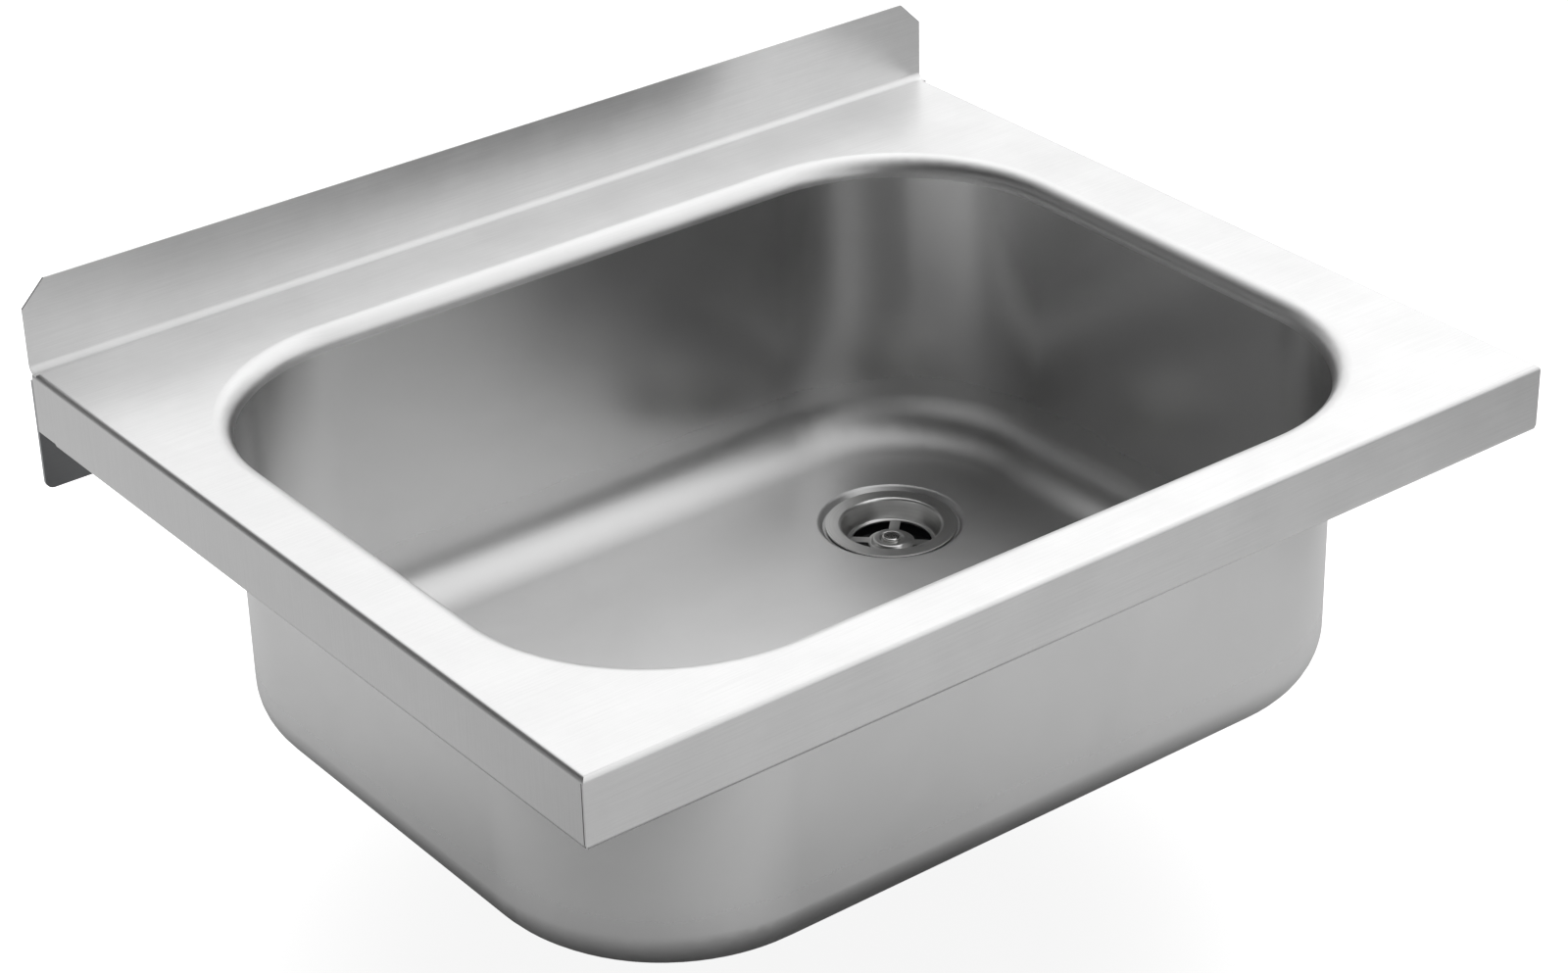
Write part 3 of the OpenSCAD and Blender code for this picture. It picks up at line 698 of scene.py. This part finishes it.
class SINK_OT_waste(bpy.types.Operator):
    """Finish the waste body, its insert and both seals"""

    bl_idname = "sink.waste"
    bl_label = "Waste"

    def execute(self, context):
        finish = context.scene.sink_finish
        # a black plastic with a soft gloss, as the mould leaves it
        plastic = moulded("moulded_black_polypropylene", finish.plastic, 0.38, ior=1.49)
        self.body(context.scene.sink_waste, plastic)
        # free-cutting brass, yellow and bright from the lathe
        dress("screw_insert", turned_metal("turned_brass", finish.brass, 0.24, "screw_insert"))
        # a nearly black rubber without gloss
        rubber = moulded("black_epdm_rubber", finish.rubber, 0.55, ior=1.52)
        for name in ("upper_seal", "lower_seal"):
            dress(name, rubber)
        return {"FINISHED"}

    def body(self, waste, plastic):
        """The moulded body with the pipe thread that the CAD solid leaves plain."""
        low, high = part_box("waste_body")
        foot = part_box("screw_insert")[0].z
        middle = Matrix.Translation(((low.x + high.x) / 2, (low.y + high.y) / 2, 0))
        flange_r = (high.x - low.x) / 2
        flange_foot = high.z - waste.flange_thick
        cup_foot = high.z - waste.cup_depth
        neck = low.z + waste.outlet_length
        wall, bevel, edge = waste.cup_wall, waste.outlet_bevel, waste.edge_bevel
        outer = [
            (flange_r - edge, high.z), (flange_r, high.z - edge),
            (flange_r, flange_foot + edge), (flange_r - edge, flange_foot),
            (waste.cup_radius + wall, flange_foot), (waste.cup_radius + wall, cup_foot),
            (waste.bore_radius + 2 * wall, neck), (waste.outlet_radius, neck),
        ]
        thread = thread_rows(
            waste.outlet_radius, waste.thread_depth, waste.thread_pitch, neck, low.z + bevel,
            waste.run_out,
        )
        inner = [
            (waste.outlet_radius - bevel, low.z), (waste.bore_radius, low.z),
            (waste.bore_radius, neck), (waste.cup_radius, cup_foot), (waste.cup_radius, high.z),
        ]
        shape = bmesh.new()
        spin(shape, outer + thread + inner, middle, steps=96)
        self.boss(shape, waste, middle, foot, cup_foot, neck)
        finished_piece("threaded_waste_body", shape, plastic, "waste_body")

    def boss(self, shape, waste, middle, foot, cup_foot, neck):
        """The boss that holds the insert, and its four ribs out to the wall of the cup."""
        seat = foot + waste.insert_length
        face = seat + waste.boss_top
        sleeve = [
            (waste.boss_radius, foot), (waste.boss_radius, face), (waste.boss_bore, face),
            (waste.boss_bore, seat), (waste.insert_radius, seat), (waste.insert_radius, foot),
        ]
        spin(shape, sleeve, middle, steps=48)
        # each rib reaches into the middle of the wall at both its ends
        mid_wall = waste.cup_wall / 2
        inside = waste.boss_radius - mid_wall
        cup_side, bore_side = waste.cup_radius + mid_wall, waste.bore_radius + mid_wall
        top, bottom = face - waste.rib_step, foot + waste.rib_step
        rib = [
            (inside, top), (cup_side, top), (cup_side, cup_foot), (bore_side, neck),
            (bore_side, bottom), (inside, bottom),
        ]
        for quarter in range(4):
            turn = middle @ Matrix.Rotation(math.radians(45 + 90 * quarter), 4, "Z")
            sheets = [
                [shape.verts.new(turn @ Vector((r, offset, z))) for r, z in rib]
                for offset in (-waste.rib_thick / 2, waste.rib_thick / 2)
            ]
            shape.faces.new(sheets[0])
            shape.faces.new(reversed(sheets[1]))
            for i in range(len(rib)):
                j = (i + 1) % len(rib)
                shape.faces.new((sheets[0][j], sheets[0][i], sheets[1][i], sheets[1][j]))


class SINK_OT_pad(bpy.types.Operator):
    """Finish the damping pad under the bowl"""

    bl_idname = "sink.pad"
    bl_label = "Damping pad"

    def execute(self, context):
        # dark grey felt with a coarse, dry skin; its grit is drawn at its real size
        colour = context.scene.sink_finish.felt
        felt = moulded("rolled_bitumen_felt", colour, 0.75, grit=1.5 * MM, relief=0.2 * MM)
        dress("sound_pad", felt)
        return {"FINISHED"}


class SINK_OT_earth(bpy.types.Operator):
    """Finish the earth tag with its screw, washers and nut"""

    bl_idname = "sink.earth"
    bl_label = "Earth terminal"

    def execute(self, context):
        finish = context.scene.sink_finish
        # a tag cut from the same strip as the rail, in the rail's darker colour with its painted
        # shade
        dress("earth_tag", brushed_sheet("cut_stainless_tag", finish.rail_steel, rough=0.34))
        # the screw lies along y, and its plating is a soft bluish white; the nut is yellow
        upright = (1, 0, 1)
        zinc = turned_metal("zinc_plated_steel", finish.zinc, 0.31, "earth_screw", across=upright)
        self.screw(context.scene.sink_earth, zinc)
        dress("earth_washers", zinc)
        brass = turned_metal("turned_brass_nut", finish.brass, 0.24, "earth_nut", across=upright)
        dress("earth_nut", brass)
        return {"FINISHED"}

    def screw(self, earth, zinc):
        """The earth screw, with its metric thread and the chamfer on its head."""
        low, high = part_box("earth_screw")
        # its head is at the wall side and its end points to the front
        lie_down = Matrix.Rotation(math.radians(90), 4, "X")
        head = Matrix.Translation(((low.x + high.x) / 2, high.y, (low.z + high.z) / 2))
        half = earth.flats / 2
        chamfered = half * 0.97
        sector = math.radians(60)
        corners_along_x = (high.x - low.x) > (high.z - low.z)
        start = sector / 2 if corners_along_x else 0.0

        def hexagon(angle):
            off = (angle - start + sector / 2) % sector - sector / 2
            return half / math.cos(off)

        def chamfer(angle):
            return min(hexagon(angle), chamfered)

        end = high.y - low.y
        crest, bevel = earth.thread_radius, earth.end_bevel
        loop = [
            (0.0, 0.0), (chamfer, 0.0), (hexagon, earth.head_chamfer),
            (hexagon, earth.head_height), (crest, earth.head_height),
        ]
        loop += thread_rows(
            crest, earth.thread_depth, earth.thread_pitch, earth.head_height, end - bevel,
            earth.run_out,
        )
        loop += [(crest - bevel, end), (0.0, end)]
        shape = bmesh.new()
        spin(shape, loop, head @ lie_down, steps=48)
        finished_piece("threaded_earth_screw", shape, zinc, "earth_screw")


def disc(name, height, radius, turn):
    """A flat round sheet of the studio, level with the ground, its x axis turned by turn."""
    shape = bmesh.new()
    bmesh.ops.create_circle(shape, cap_ends=True, segments=64, radius=radius)
    obj = to_scene(name, shape)
    obj.location = (0, 0, height)
    obj.rotation_euler = (0, 0, turn)
    return obj


def only_in_reflections(obj):
    """Hides a sheet of the studio from everything but reflections."""
    obj.visible_camera = False
    obj.visible_diffuse = False
    obj.visible_shadow = False


class SINK_OT_stage(bpy.types.Operator):
    """Set up the floor, the lights, the white background and the camera"""

    bl_idname = "sink.stage"
    bl_label = "Stage"

    def execute(self, context):
        stage = context.scene.sink_stage
        self.floor(stage)
        self.ceiling(stage)
        self.drape(stage)
        self.world(context)
        self.soft_box(context)
        self.camera(context, stage)
        context.scene.view_settings.view_transform = "Standard"
        return {"FINISHED"}

    def floor(self, stage):
        """A pale matt floor that the camera sees as white, with the sink's cast shadow on it and
        painted shade and shadow in its colour.
        """
        floor_radius = 14.0
        grey_from, grey_to = -1.06, -0.4
        painted_shadow_middle, painted_shadow_from, painted_shadow_to, painted_shadow_tone = (-0.05, -0.28), 0.15, 0.57, 0.06
        far_right, dim_from, dim_to, dim_tone = (0.95, -0.31, 0), 0.6, 1.15, 0.5
        camera_lift = 0.9
        turn = stage.bright_side + stage.floor_turn
        obj = disc("studio_floor", stage.floor_height, floor_radius, turn)
        material, tree, shader = new_material("matt_painted_floor")
        # painted shade: the floor's colour falls off to grey on the dark side of the studio
        place = add(tree, "ShaderNodeTexCoord")
        at = add(tree, "ShaderNodeSeparateXYZ", i0=place.outputs["Object"])
        side = add(
            tree, "ShaderNodeMapRange", EASED, Value=at.outputs["X"], From_Min=grey_from,
            From_Max=grey_to, To_Min=0.0, To_Max=1.0,
        )
        paint = add(
            tree, "ShaderNodeMix", {"data_type": "RGBA"}, i0=side.outputs[0],
            i6=linear(stage.painted_shade_colour), i7=linear(stage.floor_colour),
        )
        # painted shadow: under the sink its colour is nearly black, for the shade that a floor is
        # in under what hangs close above
        spot = add(tree, "ShaderNodeNewGeometry")
        away = add(
            tree, "ShaderNodeVectorMath", {"operation": "DISTANCE"}, i0=spot.outputs["Position"],
            i1=(*painted_shadow_middle, stage.floor_height),
        )
        shade = add(
            tree, "ShaderNodeMapRange", EASED, Value=away.outputs["Value"], From_Min=painted_shadow_from,
            From_Max=painted_shadow_to, To_Min=painted_shadow_tone, To_Max=1.0,
        )
        # painted shade: the colour dims again at the far right, which the right end of the front
        # apron mirrors
        right = add(
            tree, "ShaderNodeVectorMath", {"operation": "DOT_PRODUCT"},
            i0=spot.outputs["Position"], i1=far_right,
        )
        painted_dim = add(
            tree, "ShaderNodeMapRange", EASED, Value=right.outputs["Value"], From_Min=dim_from,
            From_Max=dim_to, To_Min=1.0, To_Max=dim_tone,
        )
        tone = add(
            tree, "ShaderNodeMath", {"operation": "MULTIPLY"}, i0=shade.outputs[0],
            i1=painted_dim.outputs[0],
        )
        shaded = add(
            tree, "ShaderNodeMix", DARKEN, i0=1.0, i6=paint.outputs[2], i7=tone.outputs[0]
        )
        tree.links.new(shaded.outputs[2], shader.inputs["Base Color"])
        shader.inputs["Roughness"].default_value = 1.0
        shader.inputs["Specular IOR Level"].default_value = 0.0
        # the camera sees the floor lifted to white, with the shadow on it
        ray = add(tree, "ShaderNodeLightPath")
        lift = add(
            tree, "ShaderNodeMath", {"operation": "MULTIPLY"}, i0=ray.outputs["Is Camera Ray"],
            i1=camera_lift,
        )
        shader.inputs["Emission Color"].default_value = WHITE
        tree.links.new(lift.outputs[0], shader.inputs["Emission Strength"])
        # its underside is clear, so that the sink can be looked at from below
        below = add(
            tree, "ShaderNodeMath", {"operation": "MULTIPLY"}, i0=ray.outputs["Is Camera Ray"],
            i1=spot.outputs["Backfacing"],
        )
        clear = add(tree, "ShaderNodeBsdfTransparent")
        sides = add(
            tree, "ShaderNodeMixShader", i0=below.outputs[0], i1=shader.outputs[0],
            i2=clear.outputs[0],
        )
        tree.links.new(sides.outputs[0], tree.nodes["Material Output"].inputs["Surface"])
        obj.data.materials.append(material)

    def ceiling(self, stage):
        """A silk ceiling that only reflections show: bright on one side, dark on the other."""
        reach, dark_at, bright_at = 2.14, -1.3, 1.1
        height = stage.ceiling_height
        obj = disc("silk_ceiling", height, height * reach, stage.bright_side)
        material = bpy.data.materials.new("backlit_silk")
        material.use_nodes = True
        tree = material.node_tree
        tree.nodes.clear()
        place = add(tree, "ShaderNodeTexCoord")
        at = add(tree, "ShaderNodeSeparateXYZ", i0=place.outputs["Object"])
        glow = add(
            tree, "ShaderNodeMapRange", EASED, Value=at.outputs["X"], From_Min=dark_at,
            From_Max=bright_at, To_Min=0.0, To_Max=stage.ceiling_light,
        )
        light = add(tree, "ShaderNodeEmission", Color=WHITE, Strength=glow.outputs[0])
        add(tree, "ShaderNodeOutputMaterial", i0=light.outputs[0])
        obj.data.materials.append(material)
        only_in_reflections(obj)

    def drape(self, stage):
        """A grey cloth round the side where the camera stands, which only reflections show."""
        reach, gap, strips = 2.1, 0.05, 24
        start, stop = math.radians(110), math.radians(250)
        radius = stage.ceiling_height * reach
        angles = [start + (stop - start) * i / strips for i in range(strips + 1)]
        shape = bmesh.new()
        low, high = [
            [shape.verts.new((radius * math.cos(a), radius * math.sin(a), z)) for a in angles]
            for z in (stage.floor_height + gap, stage.ceiling_height - gap)
        ]
        for i in range(strips):
            shape.faces.new((low[i], low[i + 1], high[i + 1], high[i]))
        obj = to_scene("studio_drape", shape)
        material, _, shader = new_material("grey_molton_cloth")
        shader.inputs["Base Color"].default_value = linear(stage.drape_colour)
        shader.inputs["Roughness"].default_value = 1.0
        shader.inputs["Specular IOR Level"].default_value = 0.0
        obj.data.materials.append(material)
        only_in_reflections(obj)

    def world(self, context):
        """White round about: full for the camera and for reflections, a little less as light."""
        world = bpy.data.worlds.new("white_studio")
        context.scene.world = world
        world.use_nodes = True
        tree = world.node_tree
        tree.nodes.clear()
        fill_light, shown_light = 0.8, 1.0
        ray = add(tree, "ShaderNodeLightPath")
        seen = add(
            tree, "ShaderNodeMath", {"operation": "MAXIMUM"},
            i0=ray.outputs["Is Camera Ray"], i1=ray.outputs["Is Glossy Ray"],
        )
        shown = add(
            tree, "ShaderNodeMath", {"operation": "MAXIMUM"},
            i0=seen.outputs[0], i1=ray.outputs["Is Transmission Ray"],
        )
        fill = add(tree, "ShaderNodeBackground", Color=WHITE, Strength=fill_light)
        white = add(tree, "ShaderNodeBackground", Color=WHITE, Strength=shown_light)
        mix = add(
            tree, "ShaderNodeMixShader", i0=shown.outputs[0], i1=fill.outputs[0],
            i2=white.outputs[0],
        )
        add(tree, "ShaderNodeOutputWorld", i0=mix.outputs[0])

    def soft_box(self, context):
        """A weak soft box high on the right, which shines on the middle of the sink."""
        place, target = Vector((2.1, 0.0, 1.9)), Vector((0, -0.25, 0))
        data = bpy.data.lights.new("right_soft_box", "AREA")
        data.shape = "RECTANGLE"
        data.size, data.size_y = 3.0, 2.0
        data.energy = 3
        obj = bpy.data.objects.new("right_soft_box", data)
        context.scene.collection.objects.link(obj)
        obj.location = place
        obj.rotation_mode = "QUATERNION"
        obj.rotation_quaternion = (target - place).to_track_quat("-Z", "Y")

    def camera(self, context, stage):
        """The photograph's camera, as found from the sink's edges in it."""
        forward = Vector(stage.camera_forward).normalized()
        right = Vector(stage.camera_right).normalized()
        up = right.cross(forward)
        data = bpy.data.cameras.new("camera")
        data.sensor_fit = "HORIZONTAL"
        data.sensor_width = 36.0
        data.lens = stage.lens
        data.clip_start, data.clip_end = 0.05, 60.0
        obj = bpy.data.objects.new("camera", data)
        context.scene.collection.objects.link(obj)
        turn = Matrix((right, up, -forward)).transposed()
        obj.matrix_world = Matrix.Translation(Vector(stage.camera_place)) @ turn.to_4x4()
        context.scene.camera = obj


class SINK_PT_panel(bpy.types.Panel):
    """Lists the sink's pieces and its settings"""

    bl_idname = "SINK_PT_panel"
    bl_label = "Slop sink"
    bl_space_type = "VIEW_3D"
    bl_region_type = "UI"
    bl_category = "Sink"

    def draw(self, context):
        for operator in PIECES:
            self.layout.operator(operator.bl_idname)
        for name, group in SETTINGS.items():
            box = self.layout.box()
            for setting in group.__annotations__:
                box.prop(getattr(context.scene, name), setting)


PIECES = (
    SINK_OT_deck,
    SINK_OT_bowl,
    SINK_OT_rail,
    SINK_OT_strainer,
    SINK_OT_waste,
    SINK_OT_pad,
    SINK_OT_earth,
    SINK_OT_stage,
)
SETTINGS = {
    "sink_finish": SINK_PG_finish,
    "sink_waste": SINK_PG_waste,
    "sink_earth": SINK_PG_earth,
    "sink_stage": SINK_PG_stage,
}
CLASSES = (*SETTINGS.values(), *PIECES, SINK_PT_panel)


def register():
    for cls in CLASSES:
        bpy.utils.register_class(cls)
    for name, group in SETTINGS.items():
        setattr(bpy.types.Scene, name, PointerProperty(type=group))


def unregister():
    for name in SETTINGS:
        delattr(bpy.types.Scene, name)
    for cls in reversed(CLASSES):
        bpy.utils.unregister_class(cls)


def main():
    register()
    for operator in PIECES:
        space, name = operator.bl_idname.split(".")
        getattr(getattr(bpy.ops, space), name)()


if __name__ == "__main__":
    main()
